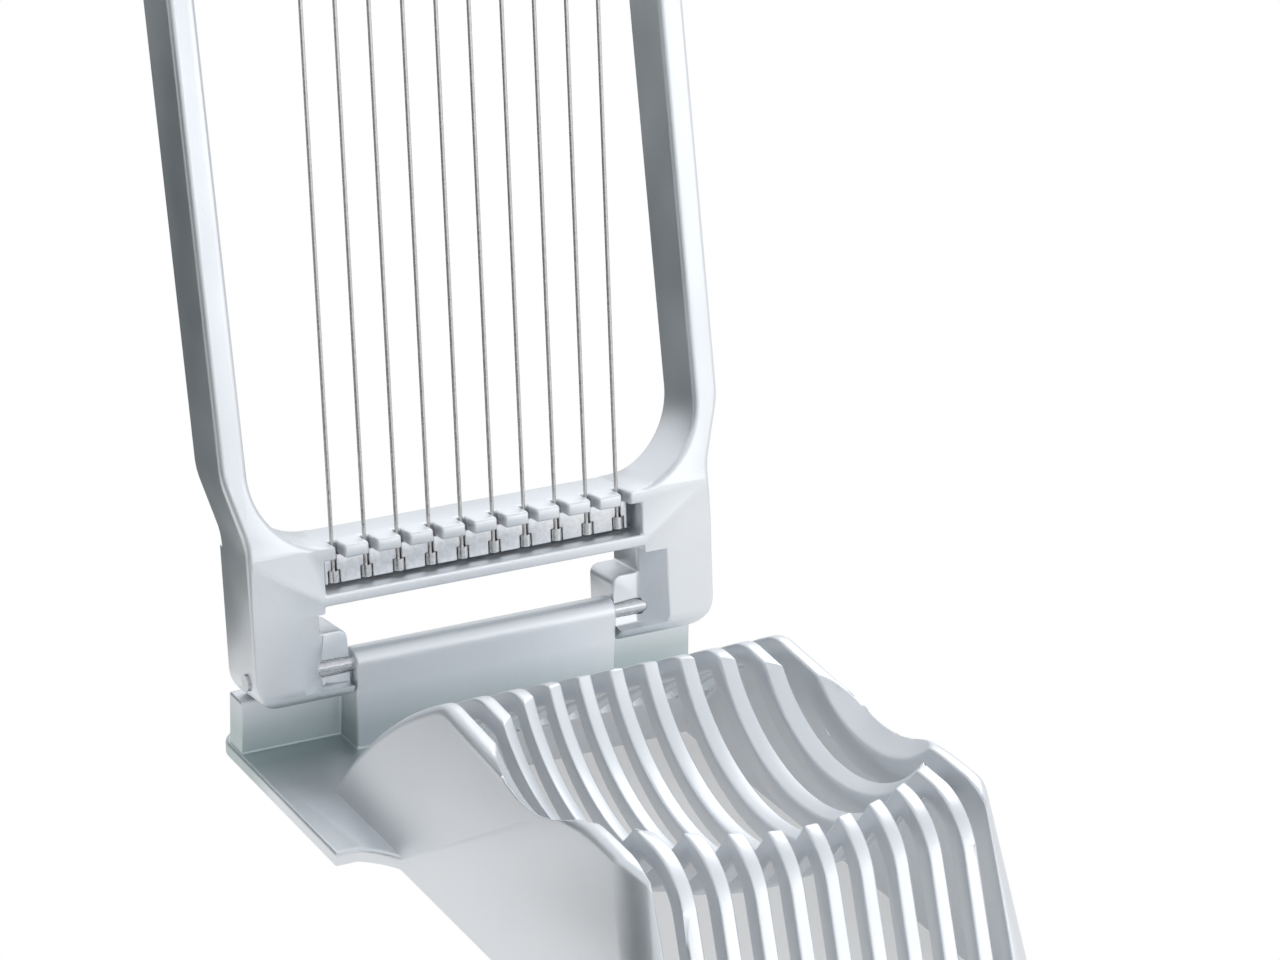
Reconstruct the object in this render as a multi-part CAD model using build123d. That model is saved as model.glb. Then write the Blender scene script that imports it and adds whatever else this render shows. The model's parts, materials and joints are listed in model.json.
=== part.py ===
"""Egg slicer: a cast base with a slatted egg cradle and a hinged frame strung with cutting wires.

Millimetres and degrees. The origin is on the table, straight below the middle of the hinge.
+X runs along the hinge, +Y points to the back and +Z points up. The frame stands open.
"""
import os
from math import cos, radians, sin

from build123d import *

# Cutting shapes run past the faces that they cut by this much
over = 1.0
edge_reach = 0.1

# An edge crosses an axis when its direction has less than this share along it
crossing = 0.6

# Wires: ten of them cut a 57 mm egg into eleven slices
wire_count = 10
wire_pitch = 5.2
wire_radius = 0.3

# Hinge
hinge_height = 15.4
open_lean = 6.7
pin_radius = 1.25
pin_clearance = 0.05
pin_length = 26.0
pin_inner_end = 12.3

# Frame, measured upright: x across, depth towards the back, height above the hinge axis
rim_half_width = 40.6
rim_wall = 4.2
rim_depth = 10.4
rim_slope = 0.12
leg_half_width = 37.9
leg_inner = 26.2
lug_inner = 22.0
lug_high = 5.5
lug_round = 1.5
near_face = 3.2
opening_low = 19.0
opening_high = 112.5
opening_corner = 12.4
frame_end = 115.5
frame_corner = 15.0
waist_low = 21.2
waist_high = 31.0
rail_low = 10.2
rail_face = 0.6
rail_flare = 4.2
foot_drop = 4.6
foot_corner = 5.0
waist_round = 12.0
rim_round = 1.0

# Pocket and anchor bar at the hinge end of the wires
pocket_half_width = 26.0
pocket_low = 12.0
pocket_high = 17.0
pocket_depth = 3.4
notch_width = 1.3
wire_gap = 0.15
anchor_half_width = 24.9
anchor_low = 12.6
anchor_front = 0.4
anchor_back = 3.2
anchor_slot = 0.9
ferrule_pocket = 1.0
ferrule_seat = 14.6
ferrule_radius = 0.85
ferrule_length = 1.8

# Apron, tension bar and thumb tab at the far end
apron_half_width = 31.0
apron_drop = 2.5
apron_top = 9.0
apron_hole = 0.45
tension_low = 118.0
tension_high = 121.0
tension_half_depth = 2.0
screw_x = 28.0
screw_radius = 1.25
screw_head_low = 123.8
screw_head_high = 125.5
screw_head_radius = 2.2
screw_slot = 0.6
screw_slot_depth = 0.7
nut_flats = 5.0
nut_height = 2.0
tab_half_width = 11.0
tab_end = 127.5
tab_near = 13.2
tab_far = 16.6
tab_corner = 6.0

# Base
plate_half_width = 38.0
plate_back = 12.5
plate_front = -31.0
plate_thickness = 2.2
plate_corner = 5.0
plate_round = 0.6
flare_step = 3.5
flare_waist = 30.8
flare_drop = 3.8
flare_length = 16.0
flare_sink = 0.4
body_half_low = 30.3
body_half_high = 27.2
body_height = 30.0
toe_y = -10.5
front_y = -110.6
shell = 3.2
cavity_low = -10.0
front_corner = 7.0
shoulder_round = 1.5
block_half_width = 21.5
knuckle_radius = 2.4
sill_half_width = 37.5
sill_front = 3.4
sill_back = 8.0
stop_gap = 0.2
lip_half_width = 20.0
lip_front = -117.5
lip_height = 4.4

# Side view of the cradle body, as points in Y and Z with the radius that rounds each
crest_back = (-43.0, 28.3)
saddle = (-64.0, 26.6)
crest_front = (-86.0, 29.2)
front_top = (-99.5, 28.7)
slope_middle = (-25.0, 16.3)
crest_back_round = 7.0
saddle_round = 30.0
crest_front_round = 30.0
front_top_round = 10.0

# Egg cradle: a hollow of revolution about an axis along X
cradle_y = -68.8
cradle_axis_z = 44.0
cradle_radius = 31.0
cradle_half_length = 35.0
slot_width = 3.0
slot_floor_back = 12.6
slot_floor_front = 5.4
slot_start = -15.0
slot_end = -114.0
slot_ceiling = 45.0

wire_xs = [(i - (wire_count - 1) / 2) * wire_pitch for i in range(wire_count)]
open_pose = Location((0, 0, hinge_height), (-open_lean, 0, 0))


def slab(x_low, x_high, y_low, y_high, z_low, z_high):
    """A box given by its limits."""
    middle = ((x_low + x_high) / 2, (y_low + y_high) / 2, (z_low + z_high) / 2)
    return Pos(*middle) * Box(x_high - x_low, y_high - y_low, z_high - z_low)


def rod_x(radius, x_low, x_high, y, z):
    """A cylinder along X."""
    return Pos((x_low + x_high) / 2, y, z) * Rot(0, 90, 0) * Cylinder(radius, x_high - x_low)


def rod_z(radius, x, y, z_low, z_high):
    """A cylinder along Z."""
    return Pos(x, y, (z_low + z_high) / 2) * Cylinder(radius, z_high - z_low)


def cradle_profile(bottom, front_round=front_top_round):
    """Side view of the cradle body, in Y and Z: back slope, two crests with a saddle, sloping front."""
    front_slant = (front_top[0] - front_y) / front_top[1]
    outline = [
        Line((front_y + front_slant * bottom, bottom), (toe_y, bottom)),
        Line((toe_y, bottom), (toe_y, 0)) if bottom < 0 else None,
        ThreePointArc((toe_y, 0), slope_middle, crest_back),
        Polyline(crest_back, saddle, crest_front, front_top, (front_y + front_slant * bottom, bottom)),
    ]
    face = make_face([edge for edge in outline if edge is not None])
    rounds = (
        (crest_back, crest_back_round), (saddle, saddle_round),
        (crest_front, crest_front_round), (front_top, front_round))
    for corner, radius in rounds:
        if radius > 0:
            vertex = face.vertices().sort_by_distance((corner[0], corner[1], 0))[0]
            face = fillet(vertex, radius)
    return face


def cradle_hollow(extra):
    """The egg hollow, grown by extra on every side."""
    radius = cradle_radius + extra
    half_length = cradle_half_length + extra
    arc = EllipticalCenterArc((0, 0), half_length, radius, 0, arc_size=180)
    half = make_face([arc, Line((-half_length, 0), (half_length, 0))])
    return Pos(0, cradle_y, cradle_axis_z) * revolve(half, Axis.X)


def base_plate():
    """Thin plate under the hinge, flaring from the body with a hollow curve on each side."""
    flare_start = (plate_half_width - flare_step, plate_front)
    flare_middle = (flare_waist, plate_front - flare_drop)
    flare_end = (body_half_low - flare_sink, plate_front - flare_length)
    right = [
        Line((0, plate_back), (plate_half_width, plate_back)),
        Line((plate_half_width, plate_back), (plate_half_width, plate_front)),
        Line((plate_half_width, plate_front), flare_start),
        ThreePointArc(flare_start, flare_middle, flare_end),
        Line(flare_end, (0, flare_end[1])),
        Line((0, flare_end[1]), (0, plate_back)),
    ]
    half = make_face(right)
    back_corner = half.vertices().sort_by_distance((plate_half_width, plate_back, 0))[0]
    half = fillet(back_corner, plate_corner)
    half_plate = extrude(half, plate_thickness)
    plate = half_plate + mirror(half_plate, Plane.YZ)
    rim = plate.edges().filter_by_position(
        Axis.Z, plate_thickness - edge_reach, plate_thickness + edge_reach)
    return fillet([edge for edge in rim if edge.center().Y > flare_end[1] + over], plate_round)


def drafted_sides(wall):
    """Prism between the two sloping side walls, moved inwards by the wall."""
    low = -body_height
    half_middle = body_half_low - wall
    half_high = body_half_high - wall
    half_low = 2 * half_middle - half_high
    section = Polygon(
        (-half_low, low), (half_low, low),
        (half_high, body_height), (-half_high, body_height), align=None)
    return extrude(Plane.XZ * section, -2 * front_y, both=True)


def base_body():
    """Cradle body before hollowing: drafted side walls and rounded front corners."""
    body = extrude(Plane.YZ * cradle_profile(0, 0), body_half_low, both=True) & drafted_sides(0)
    front = body.faces().sort_by(Axis.Y)[0]
    body = fillet(front.edges().filter_by(Axis.X, reverse=True), front_corner)
    body &= extrude(Plane.YZ * cradle_profile(0), body_half_low, both=True)
    shoulder = [
        edge for edge in body.edges()
        if abs(edge.center().X) > body_half_high - front_corner and edge.center().Z > over
        and abs(edge.tangent_at(0.5).X) < crossing]
    return fillet(shoulder, shoulder_round)


def hinge_block():
    """Round-topped wall that carries both pins, with a low sill behind it for the feet to rest on."""
    block = slab(-block_half_width, block_half_width, -knuckle_radius, knuckle_radius, 0, hinge_height)
    block += rod_x(knuckle_radius, -block_half_width, block_half_width, 0, hinge_height)
    sill_top = hinge_height - foot_drop - stop_gap
    block += slab(-block_half_width, block_half_width, 0, sill_back, 0, sill_top)
    return block + slab(-sill_half_width, sill_half_width, sill_front, sill_back, 0, sill_top)


def wire_slots():
    """One slot for each wire, from the back slope over the cradle and down the front."""
    region = Polygon(
        (slot_start, slot_floor_back), (slot_end, slot_floor_front),
        (slot_end, slot_ceiling), (slot_start, slot_ceiling), align=None)
    one = extrude(Plane.YZ * region, slot_width / 2, both=True)
    return [Pos(x, 0, 0) * one for x in wire_xs]


def base_casting():
    lip = slab(-lip_half_width, lip_half_width, lip_front, front_y + shell, 0, lip_height)
    casting = base_body() + base_plate() + hinge_block() + lip
    inside_face = offset(cradle_profile(cavity_low), -shell)
    inside = extrude(Plane.YZ * inside_face, body_half_low, both=True) & drafted_sides(shell)
    casting -= inside - cradle_hollow(shell)
    casting -= cradle_hollow(0)
    casting -= wire_slots()
    for side in (-1, 1):
        bore_ends = sorted((side * pin_inner_end, side * (block_half_width + over)))
        casting -= rod_x(pin_radius, *bore_ends, 0, hinge_height)
    return casting


def frame_front():
    """Front view of the frame: rim and legs with a lug on each, the wire opening and the window."""
    right = [
        (leg_half_width, -foot_drop), (leg_half_width, waist_low),
        (rim_half_width, waist_high), (rim_half_width, frame_end)]
    left = [(-x, z) for x, z in reversed(right)]
    outline = Polygon(*right, *left, align=None)
    corners = [v for v in outline.vertices() if v.Y > frame_end - over]
    outline = fillet(corners, frame_corner)
    outline = fillet([v for v in outline.vertices() if v.Y < 0], foot_corner)
    waist = [v for v in outline.vertices() if waist_low - over < v.Y < waist_high + over]
    outline = fillet(waist, waist_round)
    opening_height = opening_high - opening_low
    opening = Pos(0, opening_low + opening_height / 2) * RectangleRounded(
        2 * (rim_half_width - rim_wall), opening_height, opening_corner)
    window = Polygon(
        (leg_inner, rail_low), (leg_inner, lug_high), (lug_inner, lug_high), (lug_inner, -foot_drop - over),
        (-lug_inner, -foot_drop - over), (-lug_inner, lug_high), (-leg_inner, lug_high),
        (-leg_inner, rail_low), align=None)
    lug_corners = [v for v in window.vertices() if v.Y == lug_high and abs(v.X) < leg_inner - over]
    return outline - opening - fillet(lug_corners, lug_round)


def frame_side():
    """Side view of the frame in depth and height: straight legs with a heel, then the sloping rim."""
    lean = radians(open_lean)
    far_face = rim_depth - near_face
    heel_back = (-foot_drop + far_face * sin(lean)) / cos(lean)
    heel_front = -foot_drop / cos(lean)
    rise = rim_slope * (frame_end - opening_low)
    toe_high = heel_front + near_face
    arc_middle = near_face * sin(radians(45))
    return make_face([
        Line((-near_face, toe_high), (-near_face, opening_low)),
        Line((-near_face, opening_low), (-near_face + rise, frame_end)),
        Line((-near_face + rise, frame_end), (far_face + rise, frame_end)),
        Line((far_face + rise, frame_end), (far_face, opening_low)),
        Line((far_face, opening_low), (far_face, heel_back)),
        Line((far_face, heel_back), (0, heel_front)),
        ThreePointArc((0, heel_front), (-arc_middle, toe_high - arc_middle), (-near_face, toe_high)),
    ])


def thumb_tab():
    """Flat tab past the far end of the rim, for lifting and pressing the frame."""
    shape = Polygon(
        (-tab_half_width, opening_high + over), (tab_half_width, opening_high + over),
        (tab_half_width, tab_end), (-tab_half_width, tab_end), align=None)
    shape = fillet([v for v in shape.vertices() if v.Y > tab_end - over], tab_corner)
    return Pos(0, tab_far, 0) * extrude(Plane.XZ * shape, tab_far - tab_near)


def rim_edges(frame):
    """Edges round the rim, inside and outside, without the rail's own top edges."""
    lengthwise = [edge for edge in frame.edges() if abs(edge.tangent_at(0.5).Y) < crossing]
    sides = [edge for edge in lengthwise if edge.center().Z > opening_low - over]
    return [edge for edge in sides if abs(edge.center().X) > over or edge.center().Z > waist_high]


def wire_frame():
    frame = extrude(Plane.XZ * frame_front(), rim_half_width, both=True)
    frame &= extrude(Plane.YZ * frame_side(), rim_half_width + over, both=True)
    frame = fillet(rim_edges(frame), rim_round)
    frame += slab(-apron_half_width, apron_half_width, -apron_drop, apron_top, opening_high, frame_end)
    frame += thumb_tab()
    recess_half = leg_inner + rail_flare
    recess_front = -near_face - edge_reach
    recess = Polygon(
        (-leg_inner, -rail_face), (leg_inner, -rail_face),
        (recess_half, recess_front), (-recess_half, recess_front), align=None)
    recess_low = rail_low - over
    recess_height = opening_low + 2 * over - recess_low
    frame -= Pos(0, 0, recess_low) * extrude(recess, recess_height)
    cut_front = -near_face - over
    frame -= slab(-pocket_half_width, pocket_half_width, cut_front, pocket_depth, pocket_low, pocket_high)
    half_notch = notch_width / 2
    notch_back = wire_radius + wire_gap
    for x in wire_xs:
        frame -= slab(
            x - half_notch, x + half_notch, cut_front, notch_back, pocket_high, opening_low + over)
        frame -= rod_z(apron_hole, x, 0, opening_high - over, frame_end + over)
    frame -= rod_x(pin_radius + pin_clearance, -rim_half_width, rim_half_width, 0, 0)
    return frame


def anchor_bar():
    """Bar in the pocket at the hinge end, with a stepped slot for each wire and its ferrule."""
    bar = slab(-anchor_half_width, anchor_half_width, -anchor_front, anchor_back, anchor_low, pocket_high)
    cut_front = -anchor_front - over
    half_slot = anchor_slot / 2
    for x in wire_xs:
        bar -= slab(x - half_slot, x + half_slot, cut_front, wire_radius + wire_gap, 0, pocket_high + over)
        bar -= slab(x - ferrule_pocket, x + ferrule_pocket, cut_front, ferrule_pocket, 0, ferrule_seat)
    return bar


def cutting_wire(x):
    return rod_z(wire_radius, x, 0, ferrule_seat - ferrule_length, tension_high + ferrule_length)


def ferrules(z_low):
    """A crimped sleeve on each wire end."""
    sleeves = []
    for x in wire_xs:
        sleeve = rod_z(ferrule_radius, x, 0, z_low, z_low + ferrule_length)
        sleeves.append(sleeve - rod_z(wire_radius, x, 0, z_low - over, z_low + ferrule_length + over))
    return sleeves


def tension_bar():
    """Bar past the apron that the wire ends bear on."""
    bar = slab(
        -apron_half_width, apron_half_width, -tension_half_depth, tension_half_depth,
        tension_low, tension_high)
    for x in wire_xs:
        bar -= rod_z(apron_hole, x, 0, tension_low - over, tension_high + over)
    for x in (-screw_x, screw_x):
        bar -= rod_z(screw_radius, x, 0, tension_low - over, tension_high + over)
    return bar


def tension_screws():
    """Jack screws: each pushes on the apron and so pulls the bar and the wires tight."""
    screws = []
    for x in (-screw_x, screw_x):
        screw = rod_z(screw_radius, x, 0, frame_end, screw_head_low)
        screw += rod_z(screw_head_radius, x, 0, screw_head_low, screw_head_high)
        half_slot = screw_slot / 2
        screw -= slab(
            x - screw_head_radius - over, x + screw_head_radius + over, -half_slot, half_slot,
            screw_head_high - screw_slot_depth, screw_head_high + over)
        screws.append(screw)
    return screws


def lock_nuts():
    """A nut on each jack screw, locked against the tension bar."""
    nuts = []
    for x in (-screw_x, screw_x):
        hexagon = RegularPolygon(nut_flats / 2, 6, major_radius=False)
        nut = Pos(x, 0, tension_high) * extrude(hexagon, nut_height)
        nuts.append(nut - rod_z(screw_radius, x, 0, tension_high - over, tension_high + nut_height + over))
    return nuts


def hinge_pin(side):
    ends = sorted((side * pin_inner_end, side * (pin_inner_end + pin_length)))
    return rod_x(pin_radius, *ends, 0, hinge_height)


def write(name, solids, place=Location()):
    """Write one node, as one solid or as a group of separate solids."""
    group = solids if isinstance(solids, list) else [solids]
    placed = [solid.moved(place) for solid in group]
    shape = Compound(children=placed) if len(placed) > 1 else placed[0]
    export_step(shape, os.path.join("parts", name + ".step"))


os.makedirs("parts", exist_ok=True)
write("base_casting", base_casting())
write("hinge_pin_left", hinge_pin(-1))
write("hinge_pin_right", hinge_pin(1))
write("wire_frame", wire_frame(), open_pose)
write("anchor_bar", anchor_bar(), open_pose)
for number, wire_x in enumerate(wire_xs, start=1):
    write(f"cutting_wire_{number:02d}", cutting_wire(wire_x), open_pose)
write("anchor_ferrules", ferrules(ferrule_seat - ferrule_length), open_pose)
write("tension_ferrules", ferrules(tension_high), open_pose)
write("tension_bar", tension_bar(), open_pose)
write("tension_screws", tension_screws(), open_pose)
write("tension_lock_nuts", lock_nuts(), open_pose)
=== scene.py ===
"""Egg slicer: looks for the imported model, in metres and in the model's own frame."""
import itertools
import json
import math

import bmesh
import bpy
from mathutils import Matrix, Vector

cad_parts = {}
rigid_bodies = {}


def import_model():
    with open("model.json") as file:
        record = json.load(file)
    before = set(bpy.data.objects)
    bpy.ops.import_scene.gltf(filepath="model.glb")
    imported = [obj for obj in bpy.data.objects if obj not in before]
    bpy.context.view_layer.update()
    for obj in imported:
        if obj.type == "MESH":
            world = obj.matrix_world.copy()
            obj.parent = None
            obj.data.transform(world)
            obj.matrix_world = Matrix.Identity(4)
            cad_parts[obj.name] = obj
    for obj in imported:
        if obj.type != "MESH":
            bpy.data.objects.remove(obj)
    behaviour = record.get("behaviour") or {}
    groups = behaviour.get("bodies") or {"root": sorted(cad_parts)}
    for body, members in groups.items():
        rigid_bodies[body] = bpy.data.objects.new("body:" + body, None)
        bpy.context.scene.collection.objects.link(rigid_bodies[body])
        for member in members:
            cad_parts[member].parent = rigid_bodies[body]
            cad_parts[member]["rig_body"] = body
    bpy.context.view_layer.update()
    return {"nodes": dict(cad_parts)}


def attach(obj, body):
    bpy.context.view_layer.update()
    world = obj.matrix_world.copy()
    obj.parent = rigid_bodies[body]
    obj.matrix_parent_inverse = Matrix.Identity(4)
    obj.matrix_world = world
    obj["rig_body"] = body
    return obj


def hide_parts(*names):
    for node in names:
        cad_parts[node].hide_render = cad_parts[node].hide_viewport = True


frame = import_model()
nodes = frame["nodes"]

# Camera of the photograph: place, heading, tilt and roll worked out from the wires and the base's edges
CAMERA_PLACE = Vector((-0.24137, -0.48711, 0.26478))
CAMERA_HEADING = math.radians(-28.788)
CAMERA_TILT = math.radians(22.378)
CAMERA_ROLL = math.radians(1.353)
CAMERA_LENS = 112.5
CAMERA_SENSOR = 36.0
NEAREST_SEEN = 0.01
FURTHEST_SEEN = 20.0

# Merging a CAD mesh: points nearer than the gap become one, and faces within the angle become one flat face
MERGE_GAP = 0.00002
FLAT_WITHIN = math.radians(0.5)

# Edges that turn by more than this are sharp and get a round, shaded smooth
SHARP_FROM = math.radians(30.0)
ROUND_FACETS = 3
SMOOTH_WITHIN = math.radians(32.0)

# A round would fold beside an edge as short as this, unless the short edge lies on a straight run of sharp
# edges or the round follows a long ridge
TINY_EDGE = 0.0002
LONG_EDGE = 0.008
STRAIGHT = math.radians(175.0)
# It would fold as well along a face as thin as this, and at a corner as acute as this
THIN_STRIP = 0.0002
ACUTE = math.radians(40.0)
# A point of a round that lies further off the casting than this share of the round is put back
STRAY_SHARE = 0.6

# CAD node, name of its rounded copy, round, material slot
ROUNDED = [
    ("base_casting", "cradle_base", 0.0004, "cast_aluminium"),
    ("wire_frame", "slicing_frame", 0.0004, "cast_aluminium"),
    ("anchor_bar", "wire_anchor", 0.00015, "bar_aluminium"),
    ("tension_bar", "wire_tensioner", 0.0003, "bar_aluminium"),
    ("anchor_ferrules", "near_sleeves", 0.00015, "ferrule_steel"),
    ("tension_ferrules", "far_sleeves", 0.00015, "ferrule_steel"),
    ("hinge_pin_left", "left_pin", 0.0004, "fastener_steel"),
    ("hinge_pin_right", "right_pin", 0.0004, "fastener_steel"),
    ("tension_screws", "jack_screws", 0.0002, "fastener_steel"),
    ("tension_lock_nuts", "locking_nuts", 0.0003, "fastener_steel")]

# Satin casting: slow clouds in its colour and gloss, fine grain in its surface
CLOUD_NOISE = {"Scale": 45.0, "Detail": 3.0, "Roughness": 0.55}
CLOUD_TONES = [
    (0.30, (0.76, 0.785, 0.81, 1.0)),
    (0.55, (0.79, 0.815, 0.84, 1.0)),
    (0.78, (0.82, 0.84, 0.865, 1.0))]
GRAIN_NOISE = {"Scale": 2600.0, "Detail": 2.0, "Roughness": 0.6}
GRAIN_STRENGTH = 0.12
GRAIN_DEPTH = 0.00015
CASTING_ROUGHNESS = (0.38, 0.50)
CASTING_METAL = 0.93

# Painted shade: a dull grey-green shade painted on the casting behind and below these places round the
# hinge, where the frame's feet shade the plate
PAINTED_SHADE_COLOUR = (0.33, 0.42, 0.41, 1.0)
PAINTED_SHADE_SHARE = 0.6
PAINTED_SHADE_FRONT = (-0.010, -0.001)
PAINTED_SHADE_TOP = (0.0055, 0.0115)

# Bright bars, wires and fasteners: fine streaks in their colour and gloss
STREAK_NOISE = {"Scale": 1500.0, "Detail": 2.0, "Roughness": 0.5}
STREAK_DARK = 0.85
STREAK_ROUGHNESS = 0.06

# The stretch that holds most of a noise
NOISE_SPAN = (0.3, 0.7)

# Brightness of the studio's walls and ceiling, by the sine of the height above the horizon
WALL_TONES = [
    (0.0, (0.80, 0.82, 0.85, 1.0)),
    (0.50, (0.98, 1.00, 1.03, 1.0)),
    (0.80, (0.80, 0.83, 0.86, 1.0)),
    (1.0, (0.70, 0.73, 0.76, 1.0))]

# The table shows white round the casting; underneath it stays as the light leaves it
TABLE_SIZE = 6.0
TABLE_CELLS = 8
TABLE_COLOUR = (0.86, 0.86, 0.86, 1.0)
TABLE_REFLECTED = 0.90
SHADE_MIDDLE = (0.0, -0.059, 0.0)
SHADE_HALF = (0.027, 0.045, 1.0)
SHADE_FADE = 0.003
SHADE_WHITE = 0.35

# Lamp, its place, what it points at, its width and height, its power
SOFT_BOXES = [
    ("front_box", (0.70, -1.2, 0.32), (0.0, -0.04, 0.05), (1.5, 0.44), 2.3),
    ("top_box", (0.55, 0.45, 1.0), (0.0, -0.07, 0.02), (0.9, 0.9), 3.6)]

# Card, its place, its turn in degrees, its width and height
DARK_CARDS = [
    ("back_card", (-0.135, 0.275, 0.002), (0, 0, 0), (0.45, 0.47)),
    ("near_card", (-0.16, 0.10, 0.075), (90, 0, 0), (0.19, 0.12)),
    ("left_card", (-0.1975, -0.2025, 0.002), (0, 0, 0), (0.285, 0.315)),
    ("side_card", (-0.36, -0.16, 0.11), (90, 0, 90), (0.40, 0.22))]
CARD_CELLS = 4
CARD_COLOUR = (0.045, 0.06, 0.06, 1.0)

# Roughness of the table and the cards
MATT = 0.9


def set_camera():
    data = bpy.data.cameras.new("photo_camera")
    data.sensor_width = CAMERA_SENSOR
    data.lens = CAMERA_LENS
    data.clip_start = NEAREST_SEEN
    data.clip_end = FURTHEST_SEEN
    camera = bpy.data.objects.new("photo_camera", data)
    bpy.context.scene.collection.objects.link(camera)
    ahead = Vector((
        -math.sin(CAMERA_HEADING) * math.cos(CAMERA_TILT),
        math.cos(CAMERA_HEADING) * math.cos(CAMERA_TILT),
        -math.sin(CAMERA_TILT)))
    level_right = Vector((math.cos(CAMERA_HEADING), math.sin(CAMERA_HEADING), 0.0))
    level_up = level_right.cross(ahead)
    right = level_right * math.cos(CAMERA_ROLL) + level_up * math.sin(CAMERA_ROLL)
    up = level_up * math.cos(CAMERA_ROLL) - level_right * math.sin(CAMERA_ROLL)
    turn = Matrix((right, up, -ahead)).transposed().to_4x4()
    camera.matrix_world = Matrix.Translation(CAMERA_PLACE) @ turn
    bpy.context.scene.camera = camera


def start_material(name):
    """A material, its node tree and its shader."""
    material = bpy.data.materials.new(name)
    material.use_nodes = True
    return material, material.node_tree, material.node_tree.nodes["Principled BSDF"]


def add(tree, kind, **inputs):
    """A new node with some of its inputs set."""
    node = tree.nodes.new(kind)
    for key, value in inputs.items():
        node.inputs[key.replace("_", " ")].default_value = value
    return node


def maths(tree, operation, first, second):
    """A maths node on two values, each a socket or a number."""
    node = tree.nodes.new("ShaderNodeMath")
    node.operation = operation
    for socket, value in zip(node.inputs, (first, second)):
        if isinstance(value, (int, float)):
            socket.default_value = value
        else:
            tree.links.new(value, socket)
    return node.outputs["Value"]


def stretch(tree, value, span, result):
    """Carries the ends of a value's span over to the ends of the result, and holds it between them."""
    node = add(
        tree, "ShaderNodeMapRange",
        From_Min=span[0], From_Max=span[1], To_Min=result[0], To_Max=result[1])
    tree.links.new(value, node.inputs["Value"])
    return node.outputs["Result"]


def noise(tree, place, settings):
    node = add(tree, "ShaderNodeTexNoise", **settings)
    tree.links.new(place, node.inputs["Vector"])
    return node.outputs["Fac"]


def colour_band(tree, value, stops):
    """Colours by a value, blended between the stops."""
    ramp = tree.nodes.new("ShaderNodeValToRGB")
    band = ramp.color_ramp
    band.elements[0].position, band.elements[0].color = stops[0]
    band.elements[1].position, band.elements[1].color = stops[-1]
    for place, colour in stops[1:-1]:
        band.elements.new(place).color = colour
    tree.links.new(value, ramp.inputs["Fac"])
    return ramp.outputs["Color"]


def along_axes(tree, place):
    node = tree.nodes.new("ShaderNodeSeparateXYZ")
    tree.links.new(place, node.inputs["Vector"])
    return node.outputs


def cast_aluminium():
    """Satin casting, with a grey-green shade painted on low down round the hinge."""
    material, tree, shader = start_material("cast_aluminium")
    link = tree.links.new
    place = add(tree, "ShaderNodeTexCoord").outputs["Object"]
    cloud = noise(tree, place, CLOUD_NOISE)
    axes = along_axes(tree, place)
    # Painted shade: the casting's colour turns towards a grey-green shade behind the hinge and low down
    behind = stretch(tree, axes["Y"], PAINTED_SHADE_FRONT, (0.0, 1.0))
    below = stretch(tree, axes["Z"], PAINTED_SHADE_TOP, (PAINTED_SHADE_SHARE, 0.0))
    painted_shade = add(tree, "ShaderNodeMixRGB", Color2=PAINTED_SHADE_COLOUR)
    link(maths(tree, "MULTIPLY", behind, below), painted_shade.inputs["Fac"])
    link(colour_band(tree, cloud, CLOUD_TONES), painted_shade.inputs["Color1"])
    link(painted_shade.outputs["Color"], shader.inputs["Base Color"])
    link(stretch(tree, cloud, NOISE_SPAN, CASTING_ROUGHNESS), shader.inputs["Roughness"])
    bump = add(tree, "ShaderNodeBump", Strength=GRAIN_STRENGTH, Distance=GRAIN_DEPTH)
    link(noise(tree, place, GRAIN_NOISE), bump.inputs["Height"])
    link(bump.outputs["Normal"], shader.inputs["Normal"])
    shader.inputs["Metallic"].default_value = CASTING_METAL
    return material


def bright_metal(name, tint, roughness):
    """Bright drawn or turned metal."""
    material, tree, shader = start_material(name)
    link = tree.links.new
    place = add(tree, "ShaderNodeTexCoord").outputs["Object"]
    streak = noise(tree, place, STREAK_NOISE)
    dark = [STREAK_DARK * part for part in tint]
    tones = [(NOISE_SPAN[0], (*dark, 1.0)), (NOISE_SPAN[1], (*tint, 1.0))]
    link(colour_band(tree, streak, tones), shader.inputs["Base Color"])
    gloss = (roughness - STREAK_ROUGHNESS, roughness + STREAK_ROUGHNESS)
    link(stretch(tree, streak, NOISE_SPAN, gloss), shader.inputs["Roughness"])
    shader.inputs["Metallic"].default_value = 1.0
    return material


def opening(corner, first, second):
    """The angle between two edges that leave a corner."""
    ways = [edge.other_vert(corner).co - corner.co for edge in (first, second)]
    return ways[0].angle(ways[1])


def on_straight_run(edge):
    """Whether an edge lies on an unbroken straight run of sharp edges."""
    for corner in edge.verts:
        chosen = [other for other in corner.link_edges if other.select]
        if len(chosen) != 2 or opening(corner, *chosen) < STRAIGHT:
            return False
    return True


def edges_by_tiny_ones(shape):
    crowded = set()
    for edge in shape.edges:
        if edge.calc_length() < TINY_EDGE and not on_straight_run(edge):
            crowded.update(edge.verts)
    found = set()
    for edge in shape.edges:
        long_ridge = edge.is_convex and edge.calc_length() > LONG_EDGE
        if edge.select and not long_ridge and crowded.intersection(edge.verts):
            found.add(edge)
    return found


def edges_of_thin_strips(shape):
    found = set()
    for face in shape.faces:
        longest = max(edge.calc_length() for edge in face.edges)
        if all(edge.select for edge in face.edges) and face.calc_area() < longest * THIN_STRIP:
            found.update(face.edges)
    return found


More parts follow.
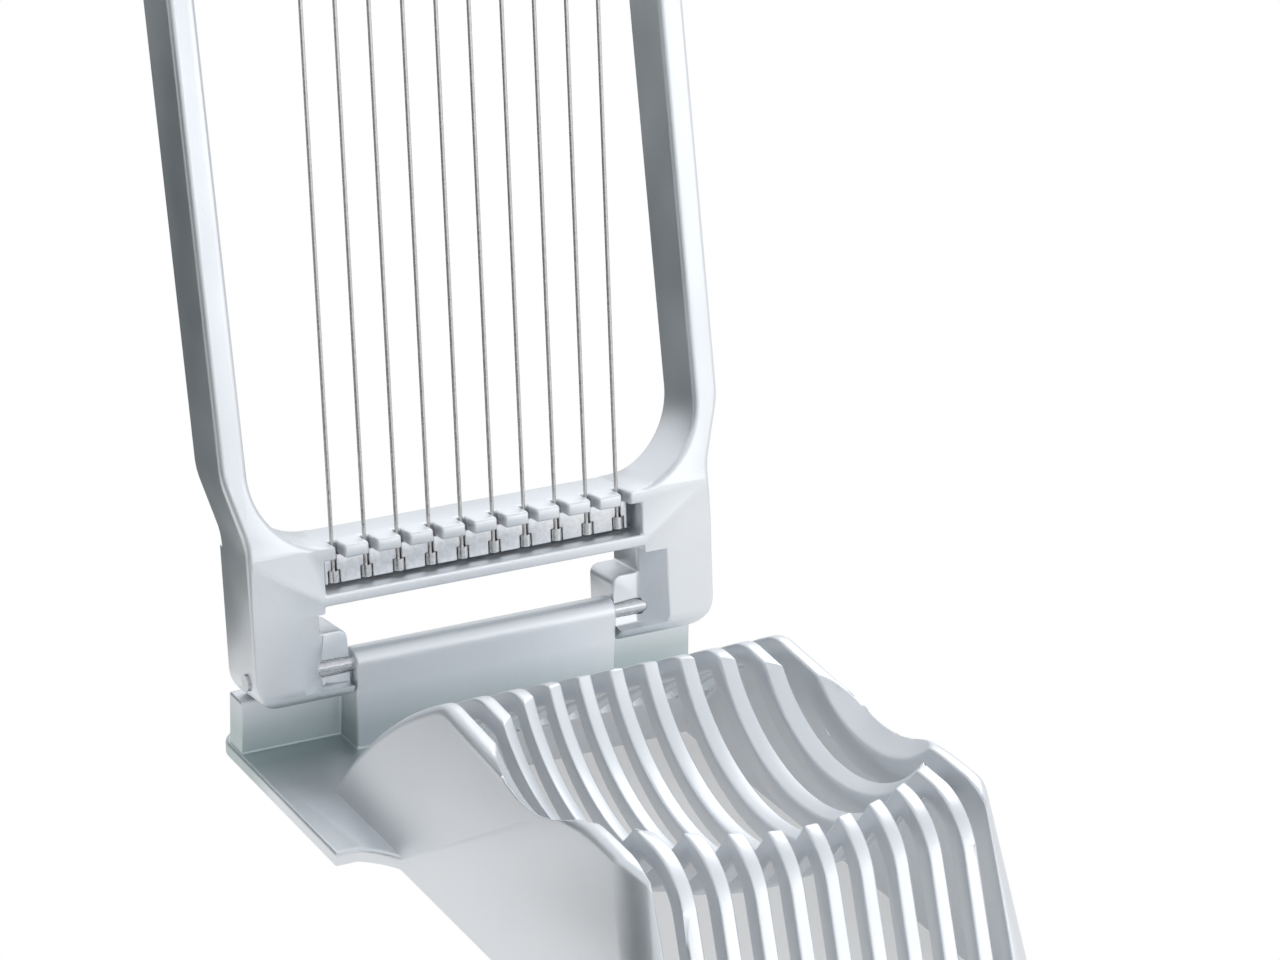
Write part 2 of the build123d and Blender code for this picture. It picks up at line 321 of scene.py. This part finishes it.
def leave_crowded_edges(mesh):
    """Drops the edges from the selection whose rounds would fold."""
    shape = bmesh.from_edit_mesh(mesh)
    dropped = edges_by_tiny_ones(shape) | edges_of_thin_strips(shape)
    for corner in shape.verts:
        chosen = [edge for edge in corner.link_edges if edge.select and edge not in dropped]
        for first, second in itertools.combinations(chosen, 2):
            if opening(corner, first, second) < ACUTE:
                dropped.update((first, second))
    for edge in dropped:
        edge.select = False
    shape.select_flush_mode()
    bmesh.update_edit_mesh(mesh)


def settle_strays(mesh, skin, edge_round):
    """Puts points that a round threw off the casting back on its skin."""
    for point in mesh.vertices:
        spot = skin.closest_point_on_mesh(point.co)[1]
        if (spot - point.co).length > edge_round * STRAY_SHARE:
            point.co = spot


def rounded_copy(node, piece, edge_round):
    """A copy of a CAD node with its doubles merged and its sharp edges rounded, as a casting's are."""
    bpy.ops.object.select_all(action="DESELECT")
    copy = bpy.data.objects.new(piece, nodes[node].data.copy())
    bpy.context.scene.collection.objects.link(copy)
    bpy.context.view_layer.objects.active = copy
    copy.select_set(True)
    bpy.ops.mesh.customdata_custom_splitnormals_clear()
    bpy.ops.object.mode_set(mode="EDIT")
    bpy.ops.mesh.select_mode(type="EDGE")
    bpy.ops.mesh.select_all(action="SELECT")
    bpy.ops.mesh.remove_doubles(threshold=MERGE_GAP)
    bpy.ops.mesh.dissolve_degenerate(threshold=MERGE_GAP)
    bpy.ops.mesh.select_all(action="SELECT")
    bpy.ops.mesh.dissolve_limited(angle_limit=FLAT_WITHIN)
    bpy.ops.mesh.select_all(action="DESELECT")
    bpy.ops.mesh.edges_select_sharp(sharpness=SHARP_FROM)
    leave_crowded_edges(copy.data)
    bpy.ops.mesh.bevel(
        offset=edge_round, offset_type="OFFSET", segments=ROUND_FACETS, profile=0.5, affect="EDGES",
        clamp_overlap=False, loop_slide=True)
    bpy.ops.object.mode_set(mode="OBJECT")
    settle_strays(copy.data, nodes[node], edge_round)
    bpy.ops.object.shade_smooth_by_angle(angle=SMOOTH_WITHIN)
    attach(copy, nodes[node]["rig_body"])
    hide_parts(node)
    return copy


def dress(piece, material):
    piece.data.materials.clear()
    piece.data.materials.append(material)


def outside_footprint(tree):
    """1 on the open table, falling to a shade under the casting."""
    place = add(tree, "ShaderNodeTexCoord").outputs["Object"]
    for operation, amount in (("SUBTRACT", SHADE_MIDDLE), ("ABSOLUTE", None), ("SUBTRACT", SHADE_HALF)):
        step = tree.nodes.new("ShaderNodeVectorMath")
        step.operation = operation
        tree.links.new(place, step.inputs[0])
        if amount:
            step.inputs[1].default_value = amount
        place = step.outputs["Vector"]
    axes = along_axes(tree, place)
    past = maths(tree, "MAXIMUM", axes["X"], axes["Y"])
    return stretch(tree, past, (0.0, SHADE_FADE), (SHADE_WHITE, 1.0))


def pale_floor():
    """White to the camera, a little dimmer in reflections, and a plain pale table to the light."""
    bpy.ops.object.select_all(action="DESELECT")
    bpy.ops.mesh.primitive_grid_add(
        x_subdivisions=TABLE_CELLS, y_subdivisions=TABLE_CELLS, size=TABLE_SIZE, location=(0, 0, 0))
    floor = bpy.context.object
    floor.name = "pale_floor"
    material, tree, shader = start_material("pale_floor")
    shader.inputs["Base Color"].default_value = TABLE_COLOUR
    shader.inputs["Roughness"].default_value = MATT
    path = tree.nodes.new("ShaderNodeLightPath").outputs
    straight = maths(tree, "MAXIMUM", path["Is Camera Ray"], path["Is Transmission Ray"])
    mirrored = maths(tree, "MULTIPLY", path["Is Glossy Ray"], TABLE_REFLECTED)
    white = tree.nodes.new("ShaderNodeEmission")
    tree.links.new(maths(tree, "MAXIMUM", straight, mirrored), white.inputs["Strength"])
    seen = maths(tree, "MAXIMUM", straight, path["Is Glossy Ray"])
    mix = tree.nodes.new("ShaderNodeMixShader")
    tree.links.new(maths(tree, "MULTIPLY", seen, outside_footprint(tree)), mix.inputs["Fac"])
    tree.links.new(shader.outputs["BSDF"], mix.inputs[1])
    tree.links.new(white.outputs["Emission"], mix.inputs[2])
    tree.links.new(mix.outputs["Shader"], tree.nodes["Material Output"].inputs["Surface"])
    floor.data.materials.append(material)


def studio_world():
    """Pale walls that brighten upwards, under a dimmer ceiling."""
    world = bpy.data.worlds.new("studio")
    bpy.context.scene.world = world
    world.use_nodes = True
    tree = world.node_tree
    height = along_axes(tree, add(tree, "ShaderNodeTexCoord").outputs["Generated"])["Z"]
    sky = tree.nodes["Background"]
    tree.links.new(colour_band(tree, height, WALL_TONES), sky.inputs["Color"])
    sky.inputs["Strength"].default_value = 1.0


def soft_box(name, place, aim, size, power):
    data = bpy.data.lights.new(name, "AREA")
    data.shape = "RECTANGLE"
    data.size, data.size_y = size
    data.energy = power
    lamp = bpy.data.objects.new(name, data)
    bpy.context.scene.collection.objects.link(lamp)
    lamp.location = place
    lamp.rotation_euler = (Vector(aim) - Vector(place)).to_track_quat("-Z", "Y").to_euler()


def dark_card(name, place, turn, size):
    """A flag that only reflections see."""
    bpy.ops.object.select_all(action="DESELECT")
    bpy.ops.mesh.primitive_grid_add(x_subdivisions=CARD_CELLS, y_subdivisions=CARD_CELLS, size=1.0)
    card = bpy.context.object
    card.name = name
    bpy.ops.transform.resize(value=(*size, 1.0))
    card.rotation_euler = [math.radians(angle) for angle in turn]
    card.location = place
    material, _, shader = start_material(name)
    shader.inputs["Base Color"].default_value = CARD_COLOUR
    shader.inputs["Roughness"].default_value = MATT
    card.data.materials.append(material)
    card.visible_camera = False
    card.visible_diffuse = False
    card.visible_shadow = False


set_camera()
pale_floor()
studio_world()
for box in SOFT_BOXES:
    soft_box(*box)
for card in DARK_CARDS:
    dark_card(*card)

# Tint and roughness of each bright metal
finishes = {
    "cast_aluminium": cast_aluminium(),
    "bar_aluminium": bright_metal("bar_aluminium", (0.88, 0.89, 0.91), 0.36),
    "wire_steel": bright_metal("wire_steel", (0.70, 0.68, 0.66), 0.30),
    "ferrule_steel": bright_metal("ferrule_steel", (0.82, 0.82, 0.82), 0.25),
    "fastener_steel": bright_metal("fastener_steel", (0.66, 0.67, 0.69), 0.28),
}
for node, piece, edge_round, slot in ROUNDED:
    shape = rounded_copy(node, piece, edge_round)
    dress(shape, finishes[slot])
for name in nodes:
    if name.startswith("cutting_wire"):
        dress(nodes[name], finishes["wire_steel"])

bpy.context.scene.view_settings.view_transform = "Standard"
